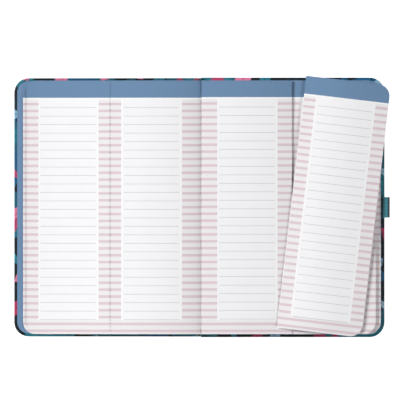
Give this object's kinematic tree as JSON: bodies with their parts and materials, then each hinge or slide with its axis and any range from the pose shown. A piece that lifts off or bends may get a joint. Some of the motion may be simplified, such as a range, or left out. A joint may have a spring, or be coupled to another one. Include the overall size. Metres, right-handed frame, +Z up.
{
  "type": "diary",
  "caption": "A5 hardback diary lying open near its front, with perforated list leaves, a torn-off list slip on the right page and an elastic pen loop.",
  "frame": {"origin": "on the table, below the gutter between the two open pages and half way from tail to head", "axes": "+X from the gutter towards the back cover and the pen loop, +Y towards the head of the pages, +Z up out of the open pages"},
  "size_m": [0.3109, 0.216, 0.0188],
  "materials": {
    "printed_wrap": "printed and matt laminated, satin",
    "greyboard": "grey bookbinding board",
    "blue_endpaper": "matt solid-colour endpaper",
    "printed_leaf": "matt uncoated paper printed in blue, pink and grey",
    "book_paper": "matt uncoated paper",
    "cotton_mull": "open cotton weave",
    "kraft_liner": "brown kraft paper",
    "linen_thread": "waxed linen",
    "woven_band": "woven silk-finish band",
    "woven_elastic": "ribbed woven elastic"
  },
  "bodies": {
    "back_and_block": {"back_board": "greyboard", "back_cover_wrap": "printed_wrap", "back_flyleaf": "blue_endpaper", "back_pastedown": "blue_endpaper", "headband": "woven_band", "link_stitches_1": "linen_thread", "link_stitches_2": "linen_thread", "link_stitches_3": "linen_thread", "link_stitches_4": "linen_thread", "link_stitches_5": "linen_thread", "mull": "cotton_mull", "pen_loop": "woven_elastic", "right_list_leaf": "printed_leaf", "right_list_stub": "printed_leaf", "section_2": "book_paper", "section_3": "book_paper", "section_4": "book_paper", "section_5": "book_paper", "section_6": "book_paper", "section_7": "book_paper", "section_8": "book_paper", "spine_board": "greyboard", "spine_liner": "kraft_liner", "spine_wrap": "printed_wrap", "tailband": "woven_band"},
    "front_cover": {"front_board": "greyboard", "front_cover_wrap": "printed_wrap", "front_pastedown": "blue_endpaper"},
    "front_flyleaf_body": {"front_flyleaf": "blue_endpaper"},
    "first_section_body": {"section_1": "book_paper"},
    "list_leaf_body": {"left_list_leaf": "printed_leaf"},
    "torn_list_body": {"torn_list": "printed_leaf"}
  },
  "joints": [
    {"name": "front_cover_hinge", "type": "hinge", "parent": "back_and_block", "child": "front_cover", "pos_m": [-0.00358, 0, 0.01733], "axis": [0, 1, 0], "range_deg": [0, 185.2]},
    {"name": "flyleaf_turn", "type": "hinge", "parent": "back_and_block", "child": "front_flyleaf_body", "pos_m": [0, 0, 0.01733], "axis": [0, 1, 0], "range_deg": [0, 185.2]},
    {"name": "first_section_turn", "type": "hinge", "parent": "back_and_block", "child": "first_section_body", "pos_m": [0, 0, 0.01733], "axis": [0, 1, 0], "range_deg": [0, 185.2]},
    {"name": "list_leaf_turn", "type": "hinge", "parent": "back_and_block", "child": "list_leaf_body", "pos_m": [0, 0, 0.01733], "axis": [0, 1, 0], "range_deg": [0, 185.2]},
    {"name": "torn_list_slide", "type": "slide", "parent": "back_and_block", "child": "torn_list_body", "axis": [0.9932, -0.1167, 0], "range_m": [0, 0.08]}
  ],
  "couplings": [
    {"joint": "flyleaf_turn", "follows": "front_cover_hinge", "ratio": 1},
    {"joint": "first_section_turn", "follows": "front_cover_hinge", "ratio": 1},
    {"joint": "list_leaf_turn", "follows": "front_cover_hinge", "ratio": 1}
  ]
}
